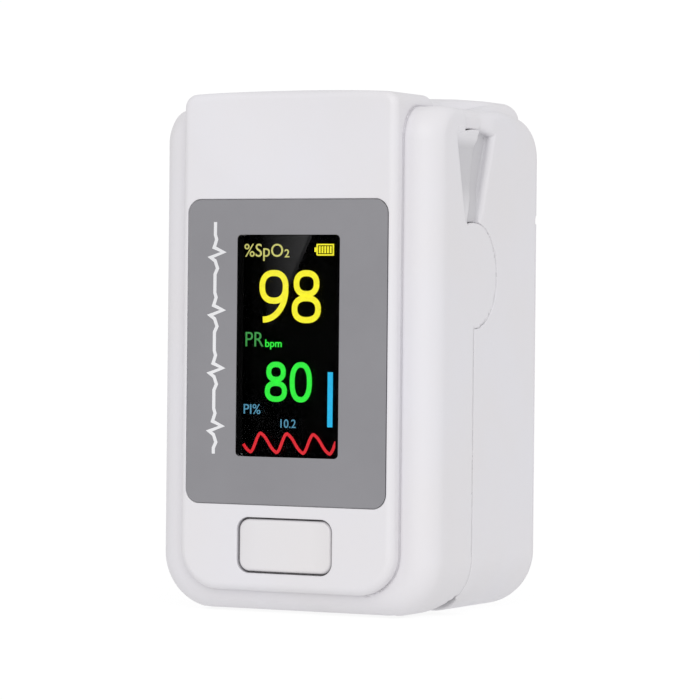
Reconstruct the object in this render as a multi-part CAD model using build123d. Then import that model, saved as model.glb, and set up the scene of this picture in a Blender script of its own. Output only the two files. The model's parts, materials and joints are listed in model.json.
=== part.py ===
from build123d import *
import os

# Fingertip pulse oximeter, standing on its finger opening. Millimetres, +Z up, display facing -Y.
# Driving dimensions
HEIGHT = 58.0            # to the top of the raised ridge
WIDTH = 34.5
DEPTH = 31.0
EAR_TOP = 56.2           # height of the body on both sides of the ridge
FRONT_LIFT = 0.5         # the front half ends this far above the rear half
WALL = 1.3
CORNER_LOW = 6.3         # lower corners, seen from the front
CORNER_EAR = 3.2         # upper corners, seen from the front
RIM_FILLET = 2.9         # around the front face
BACK_FILLET = 2.0        # around the back face
SIDE_R_FRONT = 7.8       # upper front corner, seen from the side
SIDE_R_BACK = 3.5
RIDGE_HALF = 13.3        # half width of the raised ridge on the front and top
RIDGE_STEP = 1.85        # how far the ridge stands out from the front rim
BACK_RIDGE_HALF = 14.4
BACK_RIDGE_TOP = 57.8
BACK_RIDGE_START = 14.1
PANEL_LOW = 3.0          # lower edge of the raised panel
PANEL_R_LOW = 4.6
PANEL_R_TOP = 1.8
GAP = 0.2                # between the two halves
RUN = 0.15               # clearance between surfaces that slide past each other
PARTING = 12.1           # distance of the parting plane behind the front panel
HINGE_Z = 37.7
LOBE_R = 5.9             # round lobe of the front half over each hinge pin
SEAT_R = 7.2             # the rear half's thickened wall under each lobe

HALF = WIDTH / 2
FRONT = -DEPTH / 2
HINGE_Y = FRONT + PARTING
INNER_HALF = HALF - WALL

# The rear half's upper end is a drum about the hinge axis, so that the front half slides round it.
LIP_DRUM_R = 19.6
EAR_DRUM_R = 17.75
CHEEK_DRUM_R = 15.75
TAB_HALF = 16.3
FLOOR_HALF = 15.8
CHEEK_HALF = 16.6
EAR_EDGE = 8.8           # rear edge of the front half's ears, behind the panel
EAR_LOW = 53.9           # lower edge of the ears, over the V notches

# Display side
LABEL = (24.9, 33.8)
LABEL_Z = 29.0
LABEL_R = 1.55
LABEL_T = 0.3
WINDOW = (12.8, 24.6)
WINDOW_X = 0.2
WINDOW_Z = 29.7
BUTTON = (11.5, 5.8)
BUTTON_R = 1.25
BUTTON_Z = 7.6
BUTTON_GAP = 0.2
PANEL_WALL = 1.4
BOARD_Y = 3.6
BOARD_T = 1.0
CHIP_D = BOARD_Y + BOARD_T + 0.02  # parts on the board's back start here

# Finger channel: one half oval in each half
CHANNEL_HALF = 8.4
CHANNEL_FRONT = 3.2
CHANNEL_BACK = 3.9
CHANNEL_TOP = 46.0
PAD_T = 1.1
SHELL_T = 1.0
SENSOR_Z = 29.0
CABLE_HALF = 1.6
CABLE_T = 0.24
CABLE_R = 1.0
MOUTH_HALF = 15.0
MOUTH_TOP = 2.3

# Power
CELL_R = 5.25
CELL_L = 44.5
CELL_X = 5.55
CELL_Y = 24.1
CELL_Z = 2.7
DOOR_TOP = 44.5
DOOR_LOW = 1.4
DOOR_SIDE = 28.6         # the door wraps round the back corners to here
DOOR_GAP = 0.2
DOOR_T = 1.5

# Where the inner frames step back above the hinge, so that the halves can be pinched together
UPPER_FRONT = 9.3
UPPER_BACK = 15.7
UPPER_LOW = 44.0
UPPER_TOP = 53.0

PIN_R = 0.8
PIN_INNER = 12.3         # inner end of each pin, where its spring starts
SPRING_R = 1.25
SPRING_WIRE_R = 0.2
SPRING_PITCH = 0.45
SPRING_TURNS = 3
SPRING_LEG = 5.0
SCREW_X_LOW = 14.4
SCREW_X_HIGH = 12.2
SCREW_Z_LOW = 9.0
SCREW_Z_HIGH = 50.5
BOSS_R = 1.7
SCREW_R = 0.5
HEAD_R = 1.25
HEAD_T = 0.6
SCREW_L = 4.0
FAR = 80.0


def behind(d):
    """The Y of a place d behind the front panel."""
    return FRONT + d


def facing_front(sketch, d0, d1):
    """A sketch in X and Z, extruded from d0 to d1 behind the front panel."""
    plane = Plane((0, behind(d1), 0), x_dir=(1, 0, 0), z_dir=(0, -1, 0))
    return extrude(plane * sketch, amount=d1 - d0)


def facing_side(sketch, x0, x1):
    """A sketch in Y and Z, extruded from x0 to x1."""
    plane = Plane((x0, 0, 0), x_dir=(0, 1, 0), z_dir=(1, 0, 0))
    return extrude(plane * sketch, amount=x1 - x0)


def block(x0, x1, d0, d1, z0, z1):
    """A box between two planes on each axis; the middle pair counts from the front panel."""
    size = (x1 - x0, d1 - d0, z1 - z0)
    return Pos((x0 + x1) / 2, behind((d0 + d1) / 2), (z0 + z1) / 2) * Box(*size)


def plate(x, z, width, height, radius, d0, d1):
    """A rectangle with rounded corners, facing the front."""
    return facing_front(Pos(x, z) * RectangleRounded(width, height, radius), d0, d1)


def side_polygon(points, x0, x1):
    """A polygon given by (distance behind the panel, height), extruded across X."""
    corners = [(behind(d), z) for d, z in points]
    return facing_side(make_face(Polyline(*corners, close=True)), x0, x1)


def across(radius, x0, x1, d=PARTING, z=HINGE_Z):
    """A cylinder along X, on the hinge axis unless told otherwise."""
    plane = Plane((x0, behind(d), z), x_dir=(0, 1, 0), z_dir=(1, 0, 0))
    return extrude(plane * Circle(radius), amount=x1 - x0)


def along_y(radius, x, z, d0, d1):
    return facing_front(Pos(x, z) * Circle(radius), d0, d1)


def oval(half, depth, z0, z1):
    """An oval column about the parting plane."""
    return Pos(0, HINGE_Y, z0) * extrude(Ellipse(half, depth), amount=z1 - z0)


def both(make):
    """The same thing on the left and on the right."""
    right = make()
    return right + mirror(right, about=Plane.YZ)


def face_outline(half, low, top, r_low, r_top):
    """The outline of the body seen from the front, with its own lower and upper corner radii."""
    face = Pos(0, (low + top) / 2) * Rectangle(2 * half, top - low)
    face = fillet(face.vertices().group_by(Axis.Y)[0], r_low)
    return fillet(face.vertices().group_by(Axis.Y)[-1], r_top)


def side_envelope():
    """The side view of the body without its ridge: a large radius at the upper front corner."""
    face = Pos(0, EAR_TOP / 2 - 5) * Rectangle(DEPTH, EAR_TOP + 10)
    face = face & Pos(RIDGE_STEP / 2, EAR_TOP / 2 - 5) * Rectangle(DEPTH - RIDGE_STEP, EAR_TOP + 10)
    top = face.vertices().group_by(Axis.Y)[-1].sort_by(Axis.X)
    face = fillet(top[0], SIDE_R_FRONT)
    top = face.vertices().group_by(Axis.Y)[-1].sort_by(Axis.X)
    face = fillet(top[-1], SIDE_R_BACK)
    return facing_side(face, -HALF - 1, HALF + 1)


def core(low):
    """The body under the ridge, from the front rim to the back."""
    body = facing_front(face_outline(HALF, low, EAR_TOP, CORNER_LOW, CORNER_EAR), RIDGE_STEP, DEPTH)
    body = fillet(body.faces().sort_by(Axis.Y)[0].edges(), RIM_FILLET)
    body = fillet(body.faces().sort_by(Axis.Y)[-1].edges(), BACK_FILLET)
    return body & side_envelope()


def front_ridge():
    """The raised panel that carries the display and runs over the top."""
    outline = face_outline(RIDGE_HALF, PANEL_LOW, HEIGHT, PANEL_R_LOW, PANEL_R_TOP)
    body = facing_front(outline, 0, PARTING)
    return fillet(body.faces().sort_by(Axis.Y)[0].edges(), 0.8)


def back_ridge():
    """The raised top of the rear half."""
    outline = face_outline(BACK_RIDGE_HALF, 50.0, BACK_RIDGE_TOP, 1.0, PANEL_R_TOP)
    body = facing_front(outline, BACK_RIDGE_START, DEPTH)
    edge = body.faces().sort_by(Axis.Y)[-1].edges().group_by(Axis.Z)[-1]
    return fillet(edge, 3.2)


def drum(play):
    """The drum at the rear half's upper end, larger by play for the front half to clear."""
    lip = across(LIP_DRUM_R + play, -RIDGE_HALF + 0.3 - play, RIDGE_HALF - 0.3 + play)
    ears = across(EAR_DRUM_R + play, -TAB_HALF - play, TAB_HALF + play)
    return lip + ears


def front_side_shape():
    """The side view of everything on the front half, with the lobe over the hinge."""
    edge = PARTING - GAP / 2
    points = [
        (-9, -9),
        (edge, -9),
        (edge, HINGE_Z),
        (10.2, 43.4),
        (12.7, EAR_LOW),
        (EAR_EDGE, EAR_LOW),
        (EAR_EDGE, FAR),
        (-9, FAR),
    ]
    return side_polygon(points, -HALF - 1, HALF + 1) + across(LOBE_R, -HALF - 1, HALF + 1)


def screw_places():
    """The four screws of one half, as X and Z."""
    low = [(side * SCREW_X_LOW, SCREW_Z_LOW) for side in (-1, 1)]
    high = [(side * SCREW_X_HIGH, SCREW_Z_HIGH) for side in (-1, 1)]
    return low + high


def front_cover():
    """The outer shell of the front half, with its recess, openings, V notches and hinge lobes."""
    body = (core(FRONT_LIFT) + front_ridge()) & front_side_shape()
    room = face_outline(INNER_HALF, FRONT_LIFT + WALL, EAR_TOP - WALL, 5.0, 2.0)
    behind_panel = face_outline(RIDGE_HALF - WALL, 4.0, EAR_TOP - WALL, 3.3, 1.0)
    body -= facing_front(room, RIDGE_STEP + WALL + 0.35, FAR) & side_polygon(
        [(0, -9), (FAR, -9), (FAR, FAR), (9.6, FAR), (9.6, 54.9), (3.7, 49.0), (0, 49.0)],
        -HALF,
        HALF,
    )
    body -= facing_front(behind_panel, PANEL_WALL, 5.0) & block(-HALF, HALF, 0, 6, 0, 50.5)
    sweep = side_polygon([(4.1, 60), (4.1, 56.5), (5.1, 51.9), (16, 51.9), (16, 60)], -HALF, HALF)
    body -= (drum(RUN) - across(CHEEK_DRUM_R - RUN, -HALF, HALF)) & sweep
    notch = [(7.7, 52.6), (9.75, 43.9), (14, 43.0), (14, 52.6)]
    body -= both(lambda: side_polygon(notch, CHEEK_HALF, HALF + 1))
    # The lobe keeps only its outer layer behind the parting plane and round the hinge boss.
    body -= block(-TAB_HALF, TAB_HALF, PARTING - GAP / 2, FAR, 0, 43.9)
    body -= across(4.7, -TAB_HALF, TAB_HALF)
    body -= across(SEAT_R + RUN, -TAB_HALF, TAB_HALF) & block(-HALF, HALF, 0, DEPTH, HINGE_Z, FAR)
    body -= both(lambda: across(PIN_R + 0.05, TAB_HALF - 1, HALF - 0.35))
    for x, z in screw_places():
        seat = UPPER_FRONT - 1.0 if z > HINGE_Z else PARTING - GAP - 1.0
        body += along_y(BOSS_R, x, z, 5.0 if z > HINGE_Z else 3.0, seat - 0.05)
        body -= along_y(SCREW_R, x, z, seat - 4.2, seat)
    body -= plate(0, LABEL_Z, *LABEL, LABEL_R, -1, LABEL_T)
    body -= plate(WINDOW_X, WINDOW_Z, WINDOW[0] + 0.2, WINDOW[1] + 0.2, 0.6, -1, 3)
    hole = (BUTTON[0] + 2 * BUTTON_GAP, BUTTON[1] + 2 * BUTTON_GAP)
    body -= plate(0, BUTTON_Z, *hole, BUTTON_R + BUTTON_GAP, -1, 3)
    body -= oval(MOUTH_HALF + 0.1, 4.1, -1, MOUTH_TOP)
    return body


def face_plate():
    """The printed grey plate in the panel's recess, with its display window."""
    body = plate(0, LABEL_Z, LABEL[0] - 0.1, LABEL[1] - 0.1, LABEL_R - 0.05, 0.02, LABEL_T - 0.01)
    return body - plate(WINDOW_X, WINDOW_Z, *WINDOW, 0.5, -1, 1)


def screen_lens():
    return plate(WINDOW_X, WINDOW_Z, WINDOW[0] - 0.1, WINDOW[1] - 0.1, 0.45, 0.02, 1.1)


def display_module():
    """The display's glass package on its carrier, against the inside of the panel."""
    carrier = plate(WINDOW_X, WINDOW_Z, 15.0, 27.4, 0.3, 2.3, 3.1)
    glass = plate(WINDOW_X, WINDOW_Z, 14.2, 26.4, 0.2, 1.45, 2.3)
    return carrier + glass


def power_button():
    """The button's cap, with a flange behind the panel that keeps it in."""
    cap = plate(0, BUTTON_Z, *BUTTON, BUTTON_R, 0, 1.6)
    cap = fillet(cap.faces().sort_by(Axis.Y)[0].edges(), 0.35)
    flange = plate(0, BUTTON_Z, BUTTON[0] + 1.4, BUTTON[1] + 1.0, 1.0, 1.45, 1.85)
    stem = along_y(1.1, 0, BUTTON_Z, 1.6, 2.1)
    return cap + flange + stem


def power_switch():
    """The switch under the button, soldered to the main board."""
    case = plate(0, BUTTON_Z, 4.6, 3.4, 0.3, 2.6, BOARD_Y - 0.02)
    return case - along_y(1.0, 0, BUTTON_Z, 2, 3.55)


def switch_plunger():
    return along_y(0.85, 0, BUTTON_Z, 2.12, 3.1)


def main_board():
    return plate(0, 26.5, 23.6, 42.0, 1.0, BOARD_Y, BOARD_Y + BOARD_T)


def board_chips():
    """The processor, the amplifier and the memory on the back of the main board."""
    places = ((-6.5, 40.5, 6.0, 6.0, 0.9), (5.5, 41.5, 4.0, 5.0, 0.8), (-7.0, 14.5, 4.0, 5.0, 0.8))
    chips = [plate(x, z, w, h, 0.2, CHIP_D, CHIP_D + t) for x, z, w, h, t in places]
    return Compound(children=chips)


def board_passives():
    """Two rows of small capacitors and resistors."""
    places = [(1.5 + 1.9 * i, z) for i in range(5) for z in (16.5, 12.5)]
    return Compound(children=[plate(x, z, 0.8, 1.6, 0.1, CHIP_D, CHIP_D + 0.7) for x, z in places])


def buzzer():
    return along_y(2.4, -9.0, 22.5, CHIP_D, CHIP_D + 1.1)


def wedge(side):
    """What each inner frame gives up above the hinge, so that the halves can be pinched."""
    slope = 2.4 if side < 0 else 3.0
    edge = PARTING + side * GAP
    points = [(edge, HINGE_Z), (edge + side * slope, 58), (edge - side * 9, 58), (edge - side * 9, HINGE_Z)]
    return side_polygon(points, -HALF, HALF)


def frame_seat(side, z):
    """The far face of an inner frame's plate, where its screws pass through."""
    if z < HINGE_Z:
        return PARTING + side * (GAP + 1.0)
    return UPPER_FRONT - 1.0 if side < 0 else UPPER_BACK + 1.0


def between(d0, d1, *rest):
    """A box between two depths given in either order, as wide as the body."""
    return block(-HALF, HALF, min(d0, d1), max(d0, d1), *rest)


def inner_frame(side):
    """The frame that closes one half: a flange, the finger trough and the mouth's plate."""
    depth = CHANNEL_FRONT if side < 0 else CHANNEL_BACK
    low = (FRONT_LIFT if side < 0 else 0) + WALL + 0.15
    near, far = PARTING + side * GAP, PARTING + side * (GAP + 1.0)
    inside = facing_front(face_outline(INNER_HALF - 0.15, low, 54.0, 4.8, 0.5), 0, DEPTH)
    flange = between(near, far, low, HINGE_Z - 4.5)
    seat = frame_seat(side, UPPER_TOP)
    upper = between(seat, seat - side, UPPER_LOW, UPPER_TOP) & block(-13.8, 13.8, 0, DEPTH, 0, FAR)
    half_space = between(near, near + side * 20, -1, FAR)
    outside = PAD_T + SHELL_T
    trough = oval(CHANNEL_HALF + outside, depth + outside, low, CHANNEL_TOP + outside) & half_space
    mouth = oval(MOUTH_HALF, 4.0, low, MOUTH_TOP + 0.9) & half_space
    body = (flange + upper + trough + mouth) & inside
    body -= oval(CHANNEL_HALF + PAD_T, depth + PAD_T, -1, CHANNEL_TOP + PAD_T)
    body -= wedge(side)
    # Room for the hinge bosses, the springs and the flat cable
    body -= both(lambda: block(11.2, HALF, 4, 22, 30.2, 43.4))
    body -= block(-2.2, 2.2, 4, 22, CHANNEL_TOP + outside + 0.3, 50.2)
    for x, z in screw_places():
        seat = frame_seat(side, z)
        body -= along_y(SCREW_R + 0.2, x, z, 0, DEPTH)
        top = seat - side * 0.3
        body -= along_y(HEAD_R + 0.15, x, z, *sorted((top, top - side * 6)))
    hole = plate(0, SENSOR_Z, 7.2, 9.2, 0.5, *sorted((PARTING, PARTING + side * 8)))
    return body - hole


def finger_pad(side):
    """The silicone liner of one trough, closed at its upper end, with a hole for the sensor."""
    depth = CHANNEL_FRONT if side < 0 else CHANNEL_BACK
    near = PARTING + side * GAP
    low = (FRONT_LIFT if side < 0 else 0) + WALL + 0.15
    half_space = block(-HALF, HALF, min(near, near + side * 20), max(near, near + side * 20), -1, FAR)
    outer = oval(CHANNEL_HALF + PAD_T - 0.03, depth + PAD_T - 0.03, low, CHANNEL_TOP + PAD_T - 0.05)
    inner = oval(CHANNEL_HALF, depth, -1, CHANNEL_TOP)
    body = (outer - inner) & half_space
    body -= wedge(side)
    body -= plate(0, SENSOR_Z, 7.0, 9.0, 0.5, 5, 20)
    return body


def sensor(side):
    """The window, the optical chip and the small board of one half."""
    if side < 0:
        window = plate(0, SENSOR_Z, 6.8, 8.8, 0.4, 8.0, 8.85)
        chip = plate(0, SENSOR_Z, 3.0, 3.6, 0.2, 6.77, 7.9)
        board = plate(0, SENSOR_Z, 9.0, 11.0, 0.4, 6.05, 6.75)
        return window, chip, board
    window = plate(0, SENSOR_Z, 6.8, 8.8, 0.4, 16.05, 16.9)
    chip = plate(0, SENSOR_Z, 3.0, 3.6, 0.2, 17.0, 18.1)
    board = plate(0, SENSOR_Z, 8.6, 11.0, 0.4, 18.13, 18.63)
    return window, chip, board


def screws(side):
    """Four self-tapping screws that hold one inner frame to its shell."""
    group = []
    for x, z in screw_places():
        under_head = frame_seat(side, z) - side * 0.35
        top = under_head - side * HEAD_T
        screw = along_y(HEAD_R, x, z, *sorted((under_head, top)))
        screw += along_y(SCREW_R - 0.02, x, z, *sorted((under_head, under_head + side * SCREW_L)))
        screw -= block(x - 0.9, x + 0.9, *sorted((top, top + side * 0.3)), z - 0.17, z + 0.17)
        screw -= block(x - 0.17, x + 0.17, *sorted((top, top + side * 0.3)), z - 0.9, z + 0.9)
        group.append(screw)
    return Compound(children=group)


def rear_side_shape():
    """The side view of the rear half's outer layer: parting edge, lobe seat and V notch."""
    edge = PARTING + GAP / 2
    points = [
        (edge, -9),
        (edge, HINGE_Z),
        (13.3, 43.7),
        (17.0, 52.95),
        (17.0, FAR),
        (FAR, FAR),
        (FAR, -9),
    ]
    return side_polygon(points, -HALF - 1, HALF + 1) - across(LOBE_R + GAP, -HALF - 1, HALF + 1)


def door_region(play):
    """The part of the body that is the battery door, smaller by play at its seams."""
    return block(-HALF - 1, HALF + 1, DOOR_SIDE + play, DEPTH + 1, DOOR_LOW + play, DOOR_TOP - play)


def rear_shell():
    """The outer shell of the rear half, open at the back for the cells."""
    whole = core(0) + back_ridge()
    edge = PARTING + GAP / 2
    outer = whole & rear_side_shape()
    # Under the V notches and behind the front half's ears the wall steps in.
    tab = (whole + front_ridge()) & drum(0) & side_polygon(
        [(EAR_EDGE + GAP, 53.1), (17.5, 53.1), (17.5, FAR), (EAR_EDGE + GAP, FAR)], -TAB_HALF, TAB_HALF
    )
    tab -= across(CHEEK_DRUM_R, -HALF, HALF)
    floor_points = [(9.9, 44.2), (11.9, 53.3), (18.0, 54.5), (18.0, 38), (12.2, 38)]
    floor = side_polygon(floor_points, -FLOOR_HALF, FLOOR_HALF) & across(CHEEK_DRUM_R + 0.1, -HALF, HALF)
    body = outer + tab + floor
    room = face_outline(INNER_HALF, WALL, EAR_TOP - WALL, 5.0, 2.0)
    room_side = side_polygon(
        [(0, -9), (DEPTH - DOOR_T, -9), (DEPTH - DOOR_T, 53.6), (9, 53.6), (9, 44), (0, 44)], -14.7, 14.7
    )
    low_room = side_polygon(
        [(0, -9), (DEPTH - DOOR_T, -9), (DEPTH - DOOR_T, 52), (18.6, 52), (16.5, 44), (12, 30.2), (0, 30.2)],
        -INNER_HALF,
        INNER_HALF,
    )
    body -= facing_front(room, 0, DEPTH - DOOR_T) & (room_side + low_room)
    body += both(lambda: across(4.4, 14.2, TAB_HALF - RUN))
    body += both(lambda: across(SEAT_R, 14.2, TAB_HALF - RUN) & block(0, HALF, edge, 21, 25, 46))
    body -= both(lambda: across(PIN_R, 10, HALF))
    # Cross rib above the cells
    body += block(-INNER_HALF, INNER_HALF, 19.4, 30.0, 48.5, 49.5)
    for x, z in screw_places():
        seat = frame_seat(1, z)
        body += along_y(BOSS_R, x, z, seat + 0.05, seat + 5.5)
        body -= along_y(SCREW_R, x, z, seat, seat + 4.5)
    body -= door_region(0)
    body -= block(-INNER_HALF, INNER_HALF, 20, DOOR_SIDE + 1, DOOR_LOW + 0.4, DOOR_TOP) & block(
        -14.6, 14.6, 26, 30, 0, 50
    )
    body -= oval(MOUTH_HALF + 0.1, 4.1, -1, MOUTH_TOP)
    return body


def battery_door():
    """The door over the cells: it hooks in along its top edge and snaps shut at the bottom."""
    body = core(0) & door_region(DOOR_GAP)
    inside = face_outline(INNER_HALF, WALL, EAR_TOP - WALL, 5.0, 2.0)
    body -= facing_front(inside, 0, DEPTH - DOOR_T)
    # The hook corners are eased so that the door can swing.
    body -= side_polygon(
        [(DOOR_SIDE - 1, DOOR_TOP), (29.6, DOOR_TOP), (DOOR_SIDE - 1, DOOR_TOP - 1.2)], -HALF, HALF
    )
    rib = block(-10, 10, DEPTH - DOOR_T - 0.05, DEPTH - DOOR_T + 0.02, 4, 5)
    latch = block(-3.0, 3.0, 28.7, 29.8, DOOR_LOW + 0.5, DOOR_LOW + 1.5)
    return body + latch + rib


def cell(side):
    """One AAA cell, with its positive cap up on the left and down on the right."""
    nub_up = side < 0
    z0 = CELL_Z + (0 if nub_up else 0.8)
    can = Pos(side * CELL_X, behind(CELL_Y), z0) * extrude(Circle(CELL_R), amount=CELL_L - 0.8)
    can = fillet(can.edges(), 0.5)
    cap_z = CELL_Z + CELL_L - 1.2 if nub_up else CELL_Z
    cap = Pos(side * CELL_X, behind(CELL_Y), cap_z) * extrude(Circle(1.9), amount=1.2)
    return can + cap


def contact_plate():
    """The plate that bridges the two cells at the top."""
    z0 = CELL_Z + CELL_L + 0.05
    bridge = block(-9.5, 9.5, 20.5, 28.0, z0 + 0.5, z0 + 0.8)
    for x in (-CELL_X, CELL_X):
        bridge += Pos(x, behind(CELL_Y), z0 + 0.02) * extrude(Circle(1.6), amount=0.5)
    return bridge


def contact_tabs():
    """The two separate contacts at the bottom."""
    tabs = []
    for x in (-CELL_X, CELL_X):
        tab = block(x - 3.4, x + 3.4, 20.8, 27.4, 1.35, 1.65)
        tab += Pos(x, behind(CELL_Y), 1.6) * extrude(Circle(1.6), amount=CELL_Z - 1.65)
        tabs.append(tab)
    return Compound(children=tabs)


def hinge_pin(side):
    x0, x1 = sorted((side * PIN_INNER, side * (HALF - 0.4)))
    return across(PIN_R - 0.005, x0, x1)


def torsion_spring(side):
    """A coil round the hinge pin with one leg on each inner frame."""
    helix = Helix(SPRING_PITCH, SPRING_PITCH * SPRING_TURNS, SPRING_R)
    coil = Pos(side * PIN_INNER, 0, 0) * Rot(0, side * 90, 0) * helix
    coil = Pos(0, HINGE_Y, HINGE_Z) * coil
    start, lead = coil @ 0, coil % 0
    finish, trail = coil @ 1, coil % 1
    body = sweep(Plane(start, z_dir=lead) * Circle(SPRING_WIRE_R), path=coil)
    for point, way in ((start, lead * -1), (finish, trail)):
        body += extrude(Plane(point, z_dir=way) * Circle(SPRING_WIRE_R), amount=SPRING_LEG)
    return body


def flex_cable():
    """The flat cable from the main board to the rear sensor, over the end of the finger trough."""
    over = CHANNEL_TOP + PAD_T + SHELL_T + 1.1
    path = [(4.8, 44.6), (4.8, over), (18.8, over), (18.8, 35.0)]
    line = FilletPolyline(*[(behind(d), z) for d, z in path], radius=CABLE_R)
    return facing_side(trace(line, CABLE_T), -CABLE_HALF, CABLE_HALF)


def write(name, shape):
    """One STEP file for one node."""
    shape.label = name
    export_step(shape, os.path.join("parts", name + ".step"))


def main():
    os.makedirs("parts", exist_ok=True)
    write("front_cover", front_cover())
    write("face_plate", face_plate())
    write("screen_lens", screen_lens())
    write("display_module", display_module())
    write("power_button", power_button())
    write("power_switch", power_switch())
    write("switch_plunger", switch_plunger())
    write("main_board", main_board())
    write("board_chips", board_chips())
    write("board_passives", board_passives())
    write("buzzer", buzzer())
    write("flex_cable", flex_cable())
    for side, half in ((-1, "front"), (1, "rear")):
        window, chip, board = sensor(side)
        write(half + "_inner_frame", inner_frame(side))
        write(half + "_finger_pad", finger_pad(side))
        write(half + "_sensor_window", window)
        write("led_emitter" if side < 0 else "photodiode", chip)
        write(half + "_sensor_board", board)
        write(half + "_screws", screws(side))
    write("rear_shell", rear_shell())
    write("battery_door", battery_door())
    write("bridge_contact", contact_plate())
    write("end_contacts", contact_tabs())
    for side, name in ((-1, "left"), (1, "right")):
        write("battery_" + name, cell(side))
        write("hinge_pin_" + name, hinge_pin(side))
        write("torsion_spring_" + name, torsion_spring(side))


main()
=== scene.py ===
import functools
import json
import math

import bmesh
import bpy
import numpy as np
from mathutils import Matrix, Vector


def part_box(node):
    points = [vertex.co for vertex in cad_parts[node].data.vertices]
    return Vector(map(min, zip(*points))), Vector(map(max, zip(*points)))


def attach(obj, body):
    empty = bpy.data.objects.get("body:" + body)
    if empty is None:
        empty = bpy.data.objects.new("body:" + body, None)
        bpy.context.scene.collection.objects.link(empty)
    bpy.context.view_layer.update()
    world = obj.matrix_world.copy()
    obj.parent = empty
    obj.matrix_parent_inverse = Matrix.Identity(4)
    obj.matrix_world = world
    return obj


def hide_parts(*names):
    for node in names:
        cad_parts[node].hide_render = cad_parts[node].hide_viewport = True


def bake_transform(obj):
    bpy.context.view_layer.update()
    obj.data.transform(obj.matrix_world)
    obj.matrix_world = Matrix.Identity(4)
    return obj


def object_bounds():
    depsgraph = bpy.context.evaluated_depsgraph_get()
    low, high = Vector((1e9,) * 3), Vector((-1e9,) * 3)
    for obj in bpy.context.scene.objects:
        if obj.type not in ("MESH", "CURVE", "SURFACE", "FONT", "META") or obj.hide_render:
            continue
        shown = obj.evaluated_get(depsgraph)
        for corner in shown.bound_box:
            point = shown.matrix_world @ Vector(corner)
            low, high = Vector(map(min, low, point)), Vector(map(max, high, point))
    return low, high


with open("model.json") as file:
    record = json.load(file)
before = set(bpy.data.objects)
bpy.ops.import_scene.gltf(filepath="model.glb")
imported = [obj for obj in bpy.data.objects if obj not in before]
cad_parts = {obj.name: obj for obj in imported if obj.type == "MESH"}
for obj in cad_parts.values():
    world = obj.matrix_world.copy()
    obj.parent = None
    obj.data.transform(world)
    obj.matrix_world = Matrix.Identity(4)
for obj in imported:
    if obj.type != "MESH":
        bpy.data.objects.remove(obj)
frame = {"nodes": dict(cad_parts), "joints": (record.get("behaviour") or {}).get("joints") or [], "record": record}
cad_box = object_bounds()

# Shapes are worked out in millimetres as x, d (distance behind the front panel) and z.
MM = 1000.0
HALF = cad_box[1].x * MM
TOP = cad_box[1].z * MM
FRONT_Y = cad_box[0].y * MM
DEPTH = (cad_box[1].y - cad_box[0].y) * MM
JOINTS = {joint["name"]: joint for joint in frame["joints"]}
HINGE_D = JOINTS["jaw_hinge"]["pos_m"][1] * MM - FRONT_Y
HINGE_Z = JOINTS["jaw_hinge"]["pos_m"][2] * MM


def box_mm(node):
    """A CAD node's box as (x0, x1, d0, d1, z0, z1)."""
    low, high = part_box(node)
    return (
        low.x * MM, high.x * MM,
        low.y * MM - FRONT_Y, high.y * MM - FRONT_Y,
        low.z * MM, high.z * MM,
    )


LABEL_BOX = box_mm("face_plate")
LENS_BOX = box_mm("screen_lens")
DOOR_BOX = box_mm("battery_door")
FRONT_LOW = 0.05             # the front half hangs just clear of what the object stands on

# The body
WALL = 1.3
EAR_TOP = TOP - 1.8          # height of the body beside the raised ridge
STEP = 1.85                  # how far the panel stands out from the front rim
PANEL_HALF = 13.3
PANEL_LOW = 2.5
CORNER = 6.3                 # lower corners, seen from the front
PANEL_CORNER = 4.6
CROWN = 0.4                  # rise of the top edge at its middle
DISH_R = 39.1                # the shallow hollow of the panel above the label
DISH_DEPTH = 0.5
DISH_Z = 56.3
REAR_HALF = 15.1             # half width of the raised top of the rear half
SIDE_R_FRONT = 3.8           # upper front corner, seen from the side
SIDE_R_BACK = 5.0
EDGE_R = 2.9                 # soft edge between the sides and what faces front, up or back
TIGHT_EDGE_R = 0.95          # the same edge at the top, over the hinge
CREASE_R = 0.14              # the fine groove at the foot of the panel
LABEL_CORNER = 1.55
BUTTON_CORNER = 1.25
NOTCH_R = 0.45               # the notch along the top of the battery door
UNSHADED_ABOVE = 54.2           # the painted shade in the hollows of the shells fades out above this

# Where the halves meet
SEAM = 0.015                 # half of the gap along the closed parting line
SLIDE = 0.1                  # clearance between surfaces that slide past each other
LOBE_R = 5.9
LOBE_INNER = 16.3            # inner face of the lobes
RIM_INNER = 14.7             # inner face of the rear half's side walls
LIP_DRUM_R = 20.0            # the round upper end of the rear half, under the lip
EAR_DRUM_R = 18.5            # the same under the ears
CHEEK_R = 16.2               # the front half's walls end here, under the rear half's tabs
TAB_HALF = 16.85
EAR_EDGE = 9.4               # rear edge of the front half's ears and lip
TAB_EDGE = 8.9               # the rear half's tabs reach this far forward, under the ears
FLUSH = 14.0                 # behind this the rear half is never covered by the front half
WEDGE_LINE = [(10.2, 43.4), (11.5, 46), (13.0, 53)]   # the parting line in the V, from its foot up
MOUTH_HALF = (15.1, 4.1)     # the bevelled mouth of the finger channel, across and along the depth
MOUTH_TOP = 2.3
BOSS_R = 1.7
SCREW_HOLE_R = 0.5
SCREW_PLACES = [(side * x, z) for x, z in ((14.4, 9.0), (12.2, 50.5)) for side in (-1, 1)]
SEAT_HALF = LOBE_INNER - 0.15    # outer face of the seats of the hinge pins
PIN_HOLE_R = 0.85

# The battery door, the button's cap and the finger pads
GRIP_GROOVES = 7
GRIP_TOP = 38.6
GRIP_PITCH = 1.5
BUTTON_CROWN = 0.12          # how far the cap's middle stands out beyond its ends
PAD_WALL = 1.1
PAD_RIB = 0.12               # height of the pads' grip ribs
PAD_RIB_PITCH = 3.2

BELOW = -9.0                 # well outside the object, for outlines that run past it
ABOVE = 60.0


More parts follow.
